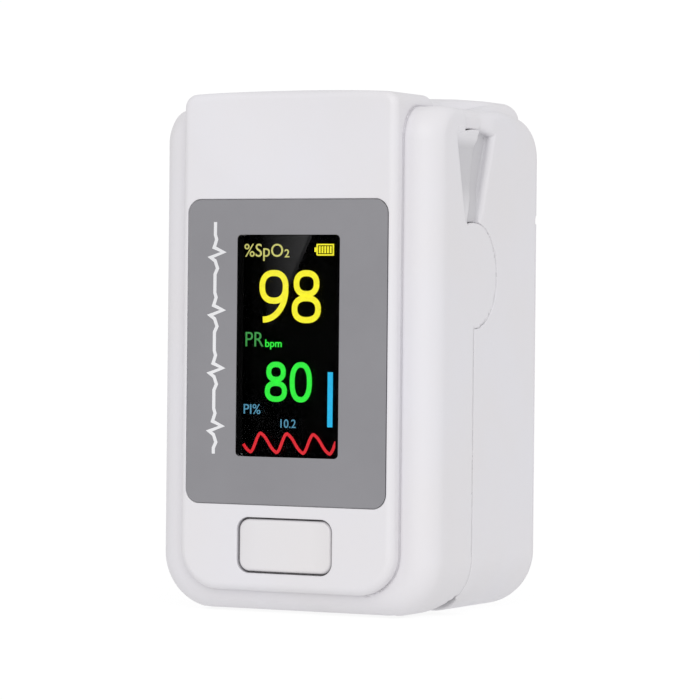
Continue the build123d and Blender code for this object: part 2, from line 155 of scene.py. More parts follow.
# Signed distances: negative inside, with rounded edges where solids meet.
def meet(a, b, r=0.0):
    """What two solids share, its edge rounded by r."""
    if np.isscalar(r) and r == 0:
        return np.maximum(a, b)
    return np.minimum(-r, np.maximum(a, b)) + np.hypot(np.maximum(r + a, 0), np.maximum(r + b, 0))


def join(a, b, r=0.0):
    """Two solids together, with a fillet of r between them."""
    return -meet(-a, -b, r)


def cut(a, b, r=0.0):
    """Solid a without solid b."""
    return meet(a, -b, r)


def span(value, low, high):
    return np.maximum(low - value, value - high)


def disc(u, v, radius):
    return np.hypot(u, v) - radius


def ellipse(u, v, half_u, half_v):
    """Close to a distance from an ellipse's edge."""
    k = np.hypot(u / half_u, v / half_v)
    slope = np.hypot(u / half_u**2, v / half_v**2)
    return np.where(slope > 1e-6, k * (k - 1) / np.maximum(slope, 1e-6), -min(half_u, half_v))


def rounded(u, v, half_u, half_v, r):
    """A rectangle with corners of radius r, about the origin."""
    u, v = np.abs(u) - half_u + r, np.abs(v) - half_v + r
    return np.hypot(np.maximum(u, 0), np.maximum(v, 0)) + np.minimum(np.maximum(u, v), 0) - r


def polygon(u, v, points):
    """A polygon in the plane of u and v."""
    nearest, inside = None, None
    for (au, av), (bu, bv) in zip(points, points[1:] + points[:1]):
        eu, ev = bu - au, bv - av
        wu, wv = u - au, v - av
        t = np.clip((wu * eu + wv * ev) / (eu * eu + ev * ev), 0, 1)
        away = (wu - t * eu) ** 2 + (wv - t * ev) ** 2
        crosses = ((v >= av) != (v >= bv)) & ((eu * wv > ev * wu) == (ev > 0))
        nearest = away if nearest is None else np.minimum(nearest, away)
        inside = crosses if inside is None else inside ^ crosses
    return np.sqrt(nearest) * np.where(inside, -1, 1)


def middle(values):
    return (values[0] + values[1]) / 2, (values[1] - values[0]) / 2


def plate_at(x, z, box, grow, r):
    """The outline of a CAD plate that faces the front, larger by grow."""
    cx, hx = middle(box[0:2])
    cz, hz = middle(box[4:6])
    return rounded(x - cx, z - cz, hx + grow, hz + grow, r + grow)


def smooth_step(t):
    t = np.clip(t, 0, 1)
    return t * t * (3 - 2 * t)


# The body's outer form
def core(x, d, z, low):
    """The body under the ridge, with soft edges that are tighter over the hinge."""
    outline = meet(np.abs(x) - HALF, low - z, CORNER)
    side = meet(meet(STEP - d, z - EAR_TOP, SIDE_R_FRONT), d - DEPTH, SIDE_R_BACK)
    over_hinge = smooth_step((z - 48) / 7) * smooth_step((d - 3) / 4) * smooth_step((27 - d) / 8)
    return meet(outline, side, EDGE_R - (EDGE_R - TIGHT_EDGE_R) * over_hinge)


def crowned_top(x, half, top):
    return top - CROWN * (x / half) ** 2


def panel_ridge(x, d, z):
    """The raised panel that carries the display and ends in the lip over the top."""
    low = meet(np.abs(x) - PANEL_HALF, PANEL_LOW - z, PANEL_CORNER)
    outline = meet(low, z - crowned_top(x, PANEL_HALF, TOP), 1.4)
    solid = meet(meet(outline, -d, 0.9), d - EAR_EDGE, 0.3)
    dish = np.sqrt(x**2 + (d + DISH_R - DISH_DEPTH) ** 2 + ((z - DISH_Z) * 1.25) ** 2) - DISH_R
    return cut(solid, dish, 1.6)


def rear_ridge(x, d, z):
    """The raised top of the rear half, which carries on the panel's line."""
    top = crowned_top(x, REAR_HALF, TOP)
    outline = meet(np.abs(x) - REAR_HALF, z - top, 1.9)
    return meet(meet(outline, d - DEPTH, 3.6), 50.0 - z)


def hinge_distance(d, z):
    return np.hypot(d - HINGE_D, z - HINGE_Z)


def drum(x, d, z, play):
    """The rear half's round upper end, about the hinge."""
    r = hinge_distance(d, z)
    crown = CROWN * (x / PANEL_HALF) ** 2
    lip = meet(r - LIP_DRUM_R + crown - play, np.abs(x) - (PANEL_HALF - 0.9 + play), 1.3)
    ears = meet(r - EAR_DRUM_R - play, np.abs(x) - (TAB_HALF + play), 1.1)
    return join(lip, ears, 0.1)


def front_side(d, z):
    """The side view of the front half's outer layer: its ears, the wedge in the V and the lobe."""
    axis = hinge_distance(d, z)
    edge = HINGE_D - SEAM
    outline = [(BELOW, BELOW), (edge, BELOW), (edge, HINGE_Z), *WEDGE_LINE]
    outline += [(WEDGE_LINE[-1][0], ABOVE), (BELOW, ABOVE)]
    wedge = np.maximum(polygon(d, z, outline), np.where(z > HINGE_Z, axis - CHEEK_R, BELOW))
    return join(np.minimum(wedge, d - EAR_EDGE), axis - LOBE_R)


def rear_side(d, z):
    """The side view of the rear half's outer layer, with the tabs that reach under the ears."""
    tab = np.maximum(np.maximum(TAB_EDGE - d, CHEEK_R + SLIDE - hinge_distance(d, z)), HINGE_Z - z)
    return np.minimum(2 * SEAM - front_side(d, z), tab)


def notch_rise(d, z):
    """0 at the foot of the V notches, where their floors come up to the side, and 1 from the middle up."""
    return smooth_step((hinge_distance(d, z) - LOBE_R) / 5.0)


def finger_mouth(x, d, z):
    return meet(ellipse(x, d - HINGE_D, *MOUTH_HALF), z - MOUTH_TOP)


def front_cover(x, d, z):
    """The front half's outer shell, with its ears, lobes and lip."""
    rim, ridge = core(x, d, z, FRONT_LOW), panel_ridge(x, d, z)
    solid = join(rim, ridge, 0.2)
    body = meet(solid, front_side(d, z), 0.05 + 0.03 * smooth_step(z - 43))
    body = cut(body, np.hypot(rim, ridge) - CREASE_R, 0.1)
    wide = np.abs(x)
    axis = hinge_distance(d, z)
    rise = notch_rise(d, z)
    # The front part of the V notches, whose floor is the wedge
    notch = polygon(d, z, [(7.5, 53.4), (9.9, 43.6), (16, 43.6), (16, 53.4)])
    depth = 0.02 + 0.5 * rise * smooth_step((53.2 - z) / 1.6)
    body = cut(body, meet(notch, HALF - depth - wide, 0.25), 0.45)
    body = cut(body, solid + WALL)
    # Room for the rear half's drum, for the floor of its V notches and for the seats of its hinge pins
    sweep = polygon(d, z, [(4.9, ABOVE), (4.9, 55.5), (5.3, 52.5), (16, 52.5), (16, ABOVE)])
    body = cut(body, meet(meet(drum(x, d, z, SLIDE), CHEEK_R - axis), sweep), 0.1)
    under = np.maximum(np.maximum(8.1 - d, 43.0 - z), axis - CHEEK_R)
    body = cut(body, np.maximum(under, wide - HALF + 0.54 + 0.52 * rise))
    behind = np.maximum(HINGE_D - 0.1 - d, z - 43.9)
    body = cut(body, meet(behind, wide - LOBE_INNER), 0.1)
    body = cut(body, meet(axis - 4.7, wide - LOBE_INNER), 0.1)
    body = cut(body, np.maximum(np.maximum(axis - 7.35, HINGE_Z - z), wide - LOBE_INNER), 0.1)
    for sx, sz in SCREW_PLACES:
        seat = 8.25 if sz > HINGE_Z else HINGE_D - 1.25
        boss = meet(disc(x - sx, z - sz, BOSS_R), span(d, 3.0, seat))
        body = join(body, boss, 0.2)
        body = cut(body, meet(disc(x - sx, z - sz, SCREW_HOLE_R), seat - 4.2 - d))
    recess = plate_at(x, z, LABEL_BOX, 0.11, LABEL_CORNER)
    body = cut(body, meet(recess, d - LABEL_BOX[3] - 0.01), 0.07)
    body = cut(body, meet(plate_at(x, z, LENS_BOX, 0.1, 0.5), d - 3), 0.05)
    body = cut(body, meet(plate_at(x, z, button_box(), 0.19, BUTTON_CORNER), d - 3), 0.1)
    return cut(body, finger_mouth(x, d, z), 0.3)


def button_box():
    """The button's cap: its CAD node is wider where its flange is."""
    x0, x1, d0, d1, z0, z1 = box_mm("power_button")
    return x0 + 0.7, x1 - 0.7, d0, d1, z0 + 0.5, z1 - 0.5


def rear_shell(x, d, z):
    """The rear half's outer shell, which holds the cells."""
    whole = join(core(x, d, z, 0.0), rear_ridge(x, d, z), 0.45)
    wide = np.abs(x)
    axis = hinge_distance(d, z)
    rise = notch_rise(d, z)
    # Where the front half's ears and lip slide over it, the top is a drum that runs out into the body.
    run_out = 0.15 * np.maximum(d - FLUSH, 0) ** 1.5
    under_front = np.minimum(drum(x, d, z, 0) - run_out, z - 52.6)
    outer = meet(meet(whole, under_front, 0.3), rear_side(d, z), 0.05)
    # The rear part of the V notches, and the plate that closes them from inside
    notch = polygon(d, z, [(9.5, 43.2), (13.2, 43.4), (16.8, 53.6), (16.8, 56), (9.5, 56)])
    notch = np.maximum(notch, axis - CHEEK_R - SLIDE)
    floor_at = HALF - 0.66 - 0.56 * rise
    soft = 0.05 + 0.7 * smooth_step((d - 12.9) / 1.4)
    outer = cut(outer, meet(notch, floor_at - wide, 0.25), soft)
    under_lobe = np.where(axis < LOBE_R + 2 * SEAM, SEAT_HALF, floor_at)
    floor = polygon(d, z, [(11.0, 44.6), (11.9, 53.3), (18.0, 54.5), (18.0, 40), (12.2, 40), (11.4, 42.4)])
    floor = meet(meet(floor, wide - under_lobe, 0.1), axis - CHEEK_R - 0.15)
    body = join(outer, np.maximum(floor, RIM_INNER - wide), 0.4)
    # The hollow: full width below and behind the seats of the hinge pins, narrower beside them
    inner = np.maximum(whole + WALL, wide - RIM_INNER)
    back = 29.5
    deep = polygon(d, z, [(0, BELOW), (back, BELOW), (back, 53.6), (9, 53.6), (9, 44), (0, 44)])
    low = polygon(d, z, [
        (0, BELOW), (back, BELOW), (back, 52), (18.6, 52), (16.5, 44), (12, 30.2), (0, 30.2),
    ])
    body = cut(body, np.maximum(inner, deep))
    body = cut(body, np.maximum(whole + WALL, low))
    # Seats for the hinge pins, and the pins' holes
    thick = span(wide, 14.2, SEAT_HALF)
    seat = np.minimum(axis - 4.4, np.maximum(axis - 7.2, span(z, 25, 46)))
    body = join(body, np.maximum(np.maximum(seat, thick), HINGE_D + SEAM - d))
    body = cut(body, meet(axis - PIN_HOLE_R, wide - HALF + 0.3))
    rib = np.maximum(np.maximum(span(d, 19.4, 30.0), span(z, 48.5, 49.5)), whole + 0.5)
    body = join(body, np.maximum(rib, wide - HALF + WALL), 0.2)
    for sx, sz in SCREW_PLACES:
        seat = 16.75 if sz > HINGE_Z else HINGE_D + 1.25
        body = join(body, meet(disc(x - sx, z - sz, BOSS_R), span(d, seat, seat + 5.5)), 0.2)
        body = cut(body, meet(disc(x - sx, z - sz, SCREW_HOLE_R), span(d, seat - 1, seat + 4.5)))
    opening = np.maximum(DOOR_BOX[2] - 0.1 - d, span(z, DOOR_BOX[4] - 0.12, DOOR_BOX[5] + 0.12))
    body = cut(body, opening, 0.12)
    body = cut(body, door_notch(whole, d, z), 0.1)
    well = np.maximum(span(d, 26, 30), np.maximum(wide - 14.6, span(z, DOOR_BOX[4] + 0.3, DOOR_BOX[5])))
    body = cut(body, well)
    return cut(body, finger_mouth(x, d, z), 0.3)


def door_notch(whole, d, z):
    """The small notch along the upper edge of the battery door."""
    return np.maximum(np.hypot(z - DOOR_BOX[5], whole) - NOTCH_R, DOOR_BOX[2] - d)


def battery_door(x, d, z):
    """The battery door, with grip grooves near the top and an arrow that shows which way it opens."""
    whole = core(x, d, z, 0.0)
    slab = np.maximum(DOOR_BOX[2] - d, span(z, DOOR_BOX[4], DOOR_BOX[5]))
    body = meet(whole, slab, 0.15)
    body = cut(body, door_notch(whole, d, z), 0.1)
    body = cut(body, whole + 1.5)
    hook = polygon(d, z, [(27, 44.6), (29.6, 44.6), (27.6, 43.2)])
    body = cut(body, hook, 0.1)
    for i in range(GRIP_GROOVES):
        away = np.hypot(z - GRIP_TOP + GRIP_PITCH * i, np.maximum(np.abs(x) - 5.4 + 0.25 * i, 0))
        body = cut(body, np.hypot(away, d - DEPTH) - 0.46, 0.12)
    arrow = polygon(x, z, [(-1.6, 25.4), (1.6, 25.4), (0.0, 23.0)])
    body = cut(body, np.maximum(arrow, DEPTH - 0.25 - d), 0.08)
    latch = np.maximum(np.maximum(np.abs(x) - 3.0, span(d, 28.7, 29.8)), span(z, 1.9, 2.9))
    return join(body, latch, 0.2)


def power_button(x, d, z):
    _, x1, _, _, z0, z1 = button_box()
    cap_line = plate_at(x, z, button_box(), 0.0, BUTTON_CORNER)
    crown = BUTTON_CROWN * (x / x1) ** 2
    cap = meet(meet(cap_line, crown + 0.02 - d, 0.4), d - 1.6)
    flange = meet(plate_at(x, z, button_box(), 0.5, 0.8), span(d, 1.45, 1.85), 0.1)
    stem = meet(disc(x, z - (z0 + z1) / 2, 1.1), span(d, 1.5, 2.1), 0.1)
    return join(join(cap, flange, 0.1), stem, 0.1)


def finger_pad(side, x, d, z):
    """One silicone liner: half an oval trough with a rolled lip and soft grip ribs."""
    _, x1, d0, d1, z0, z1 = box_mm("front_finger_pad" if side < 0 else "rear_finger_pad")
    half = x1 - PAD_WALL
    outer_depth = (HINGE_D - d0) if side < 0 else (d1 - HINGE_D)
    depth = outer_depth - PAD_WALL
    away = (d - HINGE_D) * side
    outer = meet(ellipse(x, away, x1, outer_depth), span(z, z0, z1), 0.5)
    ribs = PAD_RIB * np.cos(z * math.tau / PAD_RIB_PITCH)
    ribs = ribs * smooth_step((z - 6) / 4) * smooth_step((44 - z) / 4)
    inner = meet(ellipse(x, away, half, depth), z - z1 + PAD_WALL, 1.2) + ribs - PAD_RIB
    body = meet(cut(outer, inner, 0.35), 0.22 - away, 0.3)
    slope = 2.4 if side < 0 else 3.0
    wedge = 0.25 + slope * (z - HINGE_Z) / 20.3 - away
    body = meet(body, wedge, 0.3)
    hole = rounded(x, z - box_mm("front_sensor_window")[4] - 4.4, 3.5, 4.5, 0.6)
    return cut(body, hole, 0.3)


# Meshes from signed distances
def planes(low, high, step, fine=()):
    """Grid planes from low to high, with smaller steps inside the fine ranges."""
    marks = [low]
    while marks[-1] < high:
        at = marks[-1]
        here = [f for f in fine if f[0] - 1e-6 <= at < f[1] - 1e-6]
        ahead = [f[0] for f in fine if f[0] > at + 1e-6]
        size = min([f[2] for f in here] or [step])
        marks.append(min([at + size] + [a for a in ahead if a < at + size * 1.01 and not here]))
    return np.array(marks, np.float64)


def gradient(shape, p, h):
    """The direction of steepest rise at each point, and how sharply the surface bends there."""
    parts, total = [], 0
    for axis in range(3):
        ahead, back = p.copy(), p.copy()
        ahead[:, axis] += h
        back[:, axis] -= h
        a, b = shape(*ahead.T), shape(*back.T)
        parts.append((a - b) / (2 * h))
        total = total + a + b
    return np.stack(parts, 1), (total - 6 * shape(*p.T)) / h**2


def edge_crossings(values, axes, axis):
    """Where grid edges along one axis cross the surface: their cells and points."""
    size = values.shape
    near = [slice(None)] * 3
    far = [slice(None)] * 3
    near[axis], far[axis] = slice(0, size[axis] - 1), slice(1, size[axis])
    a, b = values[tuple(near)], values[tuple(far)]
    index = np.nonzero((a < 0) != (b < 0))
    va, vb = a[index], b[index]
    t = va / (va - vb)
    point = np.stack([axes[k][index[k]] for k in range(3)], 1).astype(np.float64)
    end = axes[axis][index[axis] + 1]
    point[:, axis] += t * (end - point[:, axis])
    return np.stack(index, 1), point, va < 0


def surface(name, shape, axes, keep):
    """A mesh of the surface where shape is zero, with a vertex in each grid cell that it crosses.

    Each vertex lies where the planes that touch the surface round its cell come closest together, which
    keeps edges sharp. keep is the share of the vertices that stay when the flat stretches are thinned.
    """
    x, d, z = np.meshgrid(*axes, indexing="ij", sparse=True)
    values = np.broadcast_to(shape(x, d, z), [len(a) for a in axes])
    cells = np.array([len(a) - 1 for a in axes])
    stride = np.array([cells[1] * cells[2], cells[2], 1])
    owners, points = [], []
    for axis in range(3):
        index, point, inside = edge_crossings(values, axes, axis)
        u, v = (axis + 1) % 3, (axis + 2) % 3
        fits = (index[:, u] > 0) & (index[:, v] > 0) & (index[:, u] < cells[u]) & (index[:, v] < cells[v])
        index, point, inside = index[fits], point[fits], inside[fits]
        around = []
        for du, dv in ((1, 1), (0, 1), (0, 0), (1, 0)):
            cell = index.copy()
            cell[:, u] -= du
            cell[:, v] -= dv
            around.append(cell @ stride)
        quad = np.stack(around, 1)
        quad[~inside] = quad[~inside][:, ::-1]
        owners.append(quad.ravel())
        points.append(np.repeat(point, 4, axis=0))
    point = np.concatenate(points)
    used, owner = np.unique(np.concatenate(owners), return_inverse=True)
    quad = owner.reshape(-1, 4)
    n = len(used)
    count = np.bincount(owner, minlength=n)
    centre = np.stack([np.bincount(owner, point[:, k], n) / count for k in range(3)], 1)
    normal, _ = gradient(shape, point, 0.01)
    normal /= np.maximum(np.linalg.norm(normal, axis=1, keepdims=True), 1e-9)
    rhs = np.einsum("ij,ij->i", normal, point - centre[owner])
    a = np.empty((n, 3, 3))
    b = np.empty((n, 3))
    for i in range(3):
        b[:, i] = np.bincount(owner, normal[:, i] * rhs, n)
        for j in range(3):
            a[:, i, j] = np.bincount(owner, normal[:, i] * normal[:, j], n)
    a += 0.06 * np.eye(3)
    place = centre + np.linalg.solve(a, b[:, :, None])[:, :, 0]
    cell = np.stack(np.unravel_index(used, cells), 1)
    for k in range(3):
        low, high = axes[k][cell[:, k]], axes[k][cell[:, k] + 1]
        place[:, k] = np.clip(place[:, k], low, high)
    obj = mesh_object(name, place, quad)
    thin(obj, keep)
    set_normals(obj, shape)
    return obj


def to_frame(points):
    """From x, d and z in millimetres to the frame's metres."""
    out = np.array(points, float)
    out[..., 1] += FRONT_Y
    return out / MM


def read_points(mesh):
    """A mesh's points in metres, one in each row."""
    flat = np.empty(len(mesh.vertices) * 3)
    mesh.vertices.foreach_get("co", flat)
    return flat.reshape(-1, 3)


def write_points(mesh, points):
    """Puts a mesh's points at x, d, z in millimetres."""
    mesh.vertices.foreach_set("co", to_frame(points).astype(np.float32).ravel())


def link_object(name, data):
    obj = bpy.data.objects.new(name, data)
    bpy.context.scene.collection.objects.link(obj)
    return obj


def mesh_object(name, points, faces):
    """A mesh object from points in x, d, z and faces with the same number of corners."""
    faces = np.asarray(faces, np.int32)
    mesh = bpy.data.meshes.new(name)
    mesh.vertices.add(len(points))
    write_points(mesh, points)
    mesh.loops.add(faces.size)
    mesh.loops.foreach_set("vertex_index", faces.ravel())
    mesh.polygons.add(len(faces))
    mesh.polygons.foreach_set("loop_start", np.arange(0, faces.size, faces.shape[1], dtype=np.int32))
    mesh.update(calc_edges=True)
    mesh.validate()
    mesh.shade_smooth()
    return link_object(name, mesh)


def thin(obj, keep):
    """Drops the vertices that flat stretches don't need."""
    modifier = obj.modifiers.new("thin", "DECIMATE")
    modifier.ratio = keep
    graph = bpy.context.evaluated_depsgraph_get()
    mesh = bpy.data.meshes.new_from_object(obj.evaluated_get(graph))
    obj.modifiers.clear()
    old = obj.data
    obj.data = mesh
    bpy.data.meshes.remove(old)
    mesh.shade_smooth()


def set_normals(obj, shape):
    """Shades a mesh by its exact shape, and keeps how it bends and how deep it lies, for the polish of its edges
    and the painted shade of its creases and hollows.
    """
    mesh = obj.data
    p = read_points(mesh) * MM
    p[:, 1] -= FRONT_Y
    p = np.clip(p, (-HALF, 0, 0), (HALF, DEPTH, TOP))
    write_points(mesh, p)
    normal, _ = gradient(shape, p, 0.06)
    _, bend = gradient(shape, p, 0.25)
    normal /= np.maximum(np.linalg.norm(normal, axis=1, keepdims=True), 1e-9)
    mesh.normals_split_custom_set_from_vertices(normal.astype(np.float32))
    # How deep each point lies below the outer form, fading out near the top: the finish paints shade by it.
    ridges = np.minimum(panel_ridge(*p.T), np.maximum(rear_ridge(*p.T), EAR_EDGE - p[:, 1]))
    sunk = -np.minimum(core(*p.T, 0.0), ridges) * smooth_step((UNSHADED_ABOVE - p[:, 2]) / 1.5)
    for name, value in (("bend", bend / 4), ("sunk", sunk)):
        attribute = mesh.attributes.new(name, "FLOAT", "POINT")
        attribute.data.foreach_set("value", np.clip(value, -1, 2).astype(np.float32))


# Materials
class Graph:
    """A node tree, with short calls for the nodes that the finishes share."""

    def __init__(self, tree):
        self.nodes = tree.nodes
        self.links = tree.links

    def feed(self, socket, value):
        """Links a socket to another node's output, or sets it to a plain value."""
        if isinstance(value, bpy.types.NodeSocket):
            self.links.new(value, socket)
        elif socket.type == "RGBA":
            socket.default_value = (*value, 1)
        else:
            socket.default_value = value

    def set(self, node, **inputs):
        """Feeds a node's inputs, named with underscores for spaces."""
        for name, value in inputs.items():
            self.feed(node.inputs[name.replace("_", " ")], value)

    def add(self, kind, **inputs):
        node = self.nodes.new("ShaderNode" + kind)
        self.set(node, **inputs)
        return node

    def place(self):
        """The piece's own coordinates."""
        return self.add("TexCoord").outputs["Object"]

    def noise(self, scale, detail=4.0, roughness=0.55, stretch=(1, 1, 1)):
        """Noise with scale features per metre."""
        vector = self.add("Mapping", Vector=self.place(), Scale=stretch).outputs["Vector"]
        node = self.add("TexNoise", Vector=vector, Scale=scale, Detail=detail, Roughness=roughness)
        return node.outputs["Fac"]

    def spread(self, value, low, high, start=0.3, end=0.7):
        """Maps start..end of a value, such as a noise's middle, onto low..high."""
        node = self.add("MapRange", Value=value, From_Min=start, From_Max=end, To_Min=low, To_Max=high)
        return node.outputs["Result"]

    def mix(self, factor, first, second):
        node = self.nodes.new("ShaderNodeMix")
        node.data_type = "RGBA"
        self.feed(node.inputs["Factor"], factor)
        colors = [socket for socket in node.inputs if socket.type == "RGBA"]
        for socket, value in zip(colors, (first, second)):
            self.feed(socket, value)
        return [socket for socket in node.outputs if socket.type == "RGBA"][0]

    def mottle(self, scale, detail, first, second):
        """Two colours mixed by a noise."""
        return self.mix(self.spread(self.noise(scale, detail), 0, 1), first, second)

    def bump(self, height, strength, distance):
        node = self.add("Bump", Height=height, Strength=strength, Distance=distance)
        return node.outputs["Normal"]

    def math(self, how, a, b):
        node = self.nodes.new("ShaderNodeMath")
        node.operation = how
        self.feed(node.inputs[0], a)
        self.feed(node.inputs[1], b)
        return node.outputs["Value"]

    def attribute(self, name):
        node = self.add("Attribute")
        node.attribute_name = name
        return node.outputs["Fac"]


def new_material(name):
    material = bpy.data.materials.new(name)
    material.use_nodes = True
    graph = Graph(material.node_tree)
    return material, graph, graph.nodes["Principled BSDF"]


def shade(color, share):
    return tuple(c * share for c in color)


def moulded_plastic(name, color, rough=(0.36, 0.46), painted_shade_and_wear=True, shine=0.42):
    """Satin moulded plastic: a faint colour drift, spark texture, polished edges and painted shade in its creases
    and hollows.
    """
    material, graph, shader = new_material(name)
    warm = tuple(c * (1 - k) for c, k in zip(color, (0.006, 0.018, 0.042)))
    tone = graph.mottle(55, 3, color, warm)
    roughness = graph.spread(graph.noise(420, 5), *rough)
    if painted_shade_and_wear:
        # Painted shade: concave creases and points that lie below the outer form are darkened; convex edges get a
        # lower roughness.
        bend = graph.attribute("bend")
        crease_shade = graph.spread(bend, 0, 0.30, -0.15, -0.9)
        tone = graph.mix(crease_shade, tone, shade(color, 0.72))
        recess_shade = graph.spread(graph.attribute("sunk"), 0, 0.6, 0.06, 0.5)
        tone = graph.mix(recess_shade, tone, shade(color, 0.6))
        polish = graph.spread(bend, 0, -0.12, 0.1, 0.9)
        roughness = graph.math("ADD", roughness, polish)
    wave = graph.bump(graph.noise(130, 2), 0.12, 0.0004)
    spark = graph.add("Bump", Height=graph.noise(9000, 2), Strength=0.10, Distance=0.00003, Normal=wave)
    graph.set(shader, Base_Color=tone, Roughness=roughness, Specular_IOR_Level=shine)
    graph.set(shader, Normal=spark.outputs["Normal"])
    return material


def metal(name, color, grain=(1, 1, 1)):
    """Worked metal: dull patches, and lines along its grain."""
    material, graph, shader = new_material(name)
    lines = graph.noise(900, 6, 0.7, grain)
    graph.set(shader, Base_Color=graph.mottle(700, 5, color, shade(color, 0.78)), Metallic=1.0)
    graph.set(shader, Roughness=graph.spread(lines, 0.18, 0.38), Normal=graph.bump(lines, 0.2, 0.00002))
    return material


def rubber(name, color):
    """Silicone with a little dust."""
    material, graph, shader = new_material(name)
    dusty = tuple(min(1, c * 1.18 + 0.01) for c in color)
    dust = graph.spread(graph.noise(260, 6, 0.7), 0, 1, 0.42, 0.68)
    graph.set(shader, Base_Color=graph.mix(dust, color, dusty))
    graph.set(shader, Roughness=graph.spread(graph.noise(900, 4), 0.55, 0.75))
    graph.set(shader, Normal=graph.bump(graph.noise(5200, 3), 0.25, 0.00005))
    graph.set(shader, Sheen_Weight=0.15, Subsurface_Weight=0.08, Subsurface_Scale=0.001)
    return material


def printed_plate(name, color):
    """Matt printed film with a fine orange-peel surface."""
    material, graph, shader = new_material(name)
    graph.set(shader, Base_Color=graph.mottle(75, 3, color, shade(color, 1.07)))
    graph.set(shader, Roughness=graph.spread(graph.noise(600, 4), 0.34, 0.44))
    graph.set(shader, Normal=graph.bump(graph.noise(2600, 2), 0.08, 0.00003))
    return material


def glass(name, color, rough=0.02):
    """Clear glass or resin with faint smears."""
    material, graph, shader = new_material(name)
    smear = graph.spread(graph.noise(500, 6, 0.7), rough, rough * 2.5, 0.45, 0.75)
    graph.set(shader, Base_Color=graph.mottle(300, 3, color, shade(color, 0.97)), Roughness=smear)
    graph.set(shader, Transmission_Weight=1.0, IOR=1.47)
    return material


def lit_ink(name, color, power):
    """A display segment: emissive, with the faint unevenness of its pixels."""
    material, graph, shader = new_material(name)
    graph.set(shader, Emission_Color=graph.mottle(1800, 2, color, shade(color, 0.86)))
    graph.set(shader, Emission_Strength=power, Base_Color=shade(color, 0.3), Roughness=0.6)
    return material


def circuit_board(name):
    """Green solder mask over faint copper tracks."""
    material, graph, shader = new_material(name)
    turned = graph.add("Mapping", Vector=graph.place(), Rotation=(math.pi / 2, 0, 0))
    tracks = graph.add("TexBrick", Vector=turned.outputs["Vector"], Scale=420, Mortar_Size=0.035)
    graph.set(tracks, Color1=(0.010, 0.105, 0.045), Color2=(0.012, 0.120, 0.050), Mortar=(0.03, 0.20, 0.08))
    graph.set(shader, Base_Color=tracks.outputs["Color"])
    graph.set(shader, Roughness=graph.spread(graph.noise(900, 3), 0.25, 0.4))
    graph.set(shader, Normal=graph.bump(tracks.outputs["Fac"], 0.3, 0.00003))
    return material


def cell_sleeve(name):
    """The printed sleeve of a cell: dark body with a copper band near one end."""
    material, graph, shader = new_material(name)
    height = graph.add("SeparateXYZ", Vector=graph.place()).outputs["Z"]
    band = graph.math("GREATER_THAN", height, 0.036)
    scuffs = graph.spread(graph.noise(900, 6, 0.75), 0, 1, 0.55, 0.75)
    dark = graph.mix(scuffs, (0.016, 0.017, 0.02), (0.05, 0.05, 0.055))
    copper = graph.mix(scuffs, (0.55, 0.26, 0.09), (0.42, 0.2, 0.08))
    graph.set(shader, Base_Color=graph.mix(band, dark, copper), Metallic=0.35)
    graph.set(shader, Roughness=graph.spread(graph.noise(700, 4), 0.22, 0.36))
    graph.set(shader, Normal=graph.bump(scuffs, 0.1, 0.00003))
    return material


WHITE = (0.80, 0.790, 0.832)
MATERIALS = {
    "white_shell": moulded_plastic("satin_white_plastic", WHITE),
    "button_white": moulded_plastic("button_plastic", (0.80, 0.785, 0.81), (0.30, 0.40)),
    "frame_grey": moulded_plastic("frame_plastic", (0.62, 0.62, 0.64), (0.45, 0.6), painted_shade_and_wear=False),
    "grey_plate": printed_plate("grey_film", (0.262, 0.258, 0.276)),
    "screen_lens": glass("display_glass", (0.93, 0.93, 0.95), 0.004),
    "display_black": moulded_plastic("display_back", (0.001, 0.001, 0.0012), (0.3, 0.4), False, 0.04),
    "switch_metal": metal("switch_tin", (0.74, 0.74, 0.72)),
    "switch_black": moulded_plastic("switch_plastic", (0.02, 0.02, 0.022), (0.4, 0.55), painted_shade_and_wear=False),
    "circuit_board": circuit_board("solder_mask"),
    "chip_black": moulded_plastic("chip_resin", (0.018, 0.018, 0.02), (0.5, 0.7), painted_shade_and_wear=False),
    "chip_ceramic": moulded_plastic("ceramic", (0.42, 0.33, 0.24), (0.35, 0.5), painted_shade_and_wear=False),
    "silicone": rubber("silicone_pad", (0.085, 0.088, 0.095)),
    "sensor_window": glass("sensor_window_resin", (0.55, 0.12, 0.12), 0.08),
    "emitter_clear": glass("clear_resin", (0.95, 0.95, 0.9), 0.05),
    "photodiode_dark": moulded_plastic("photodiode_resin", (0.02, 0.016, 0.03), (0.12, 0.2), painted_shade_and_wear=False),
    "screw_steel": metal("zinc_steel", (0.62, 0.62, 0.60)),
    "cell_sleeve": cell_sleeve("cell_print"),
    "contact_nickel": metal("nickel", (0.70, 0.67, 0.60)),
    "pin_steel": metal("ground_steel", (0.60, 0.60, 0.61), grain=(1, 14, 14)),
    "spring_steel": metal("spring_wire", (0.50, 0.50, 0.51)),
    "cable_amber": moulded_plastic("polyimide", (0.48, 0.20, 0.03), (0.25, 0.4), painted_shade_and_wear=False),
}
WHITE_INK = printed_plate("white_ink", (0.80, 0.80, 0.82))
SLOTS = {part["node"]: part["material_slot"] for part in frame["record"]["subparts"]}


def finish_piece(obj, slot, body, replaced=(), material=None):
    """Gives a piece its finish and its body, and hides the CAD nodes it stands for."""
    obj.data.materials.clear()
    obj.data.materials.append(material or MATERIALS[slot])
    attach(obj, body)
    if replaced:
        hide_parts(*replaced)


def dress_cad_nodes():
    for name, obj in frame["nodes"].items():
        material = MATERIALS[SLOTS[name]]
        obj.data.materials.clear()
        obj.data.materials.append(material)


# The shells
def edges_of(box, axis, margin, step):
    """Fine ranges about both ends of a CAD box on one axis."""
    low, high = box[2 * axis], box[2 * axis + 1]
    return [(low - 0.3, low + margin, step), (high - margin, high + 0.3, step)]


def mirrored(ranges):
    return sorted([(-b, -a, s) for a, b, s in ranges] + list(ranges))


COARSE = 1.0


def graded(low, high, step, ranges):
    return planes(low, high, step * COARSE, [(a, b, s * COARSE) for a, b, s in ranges])


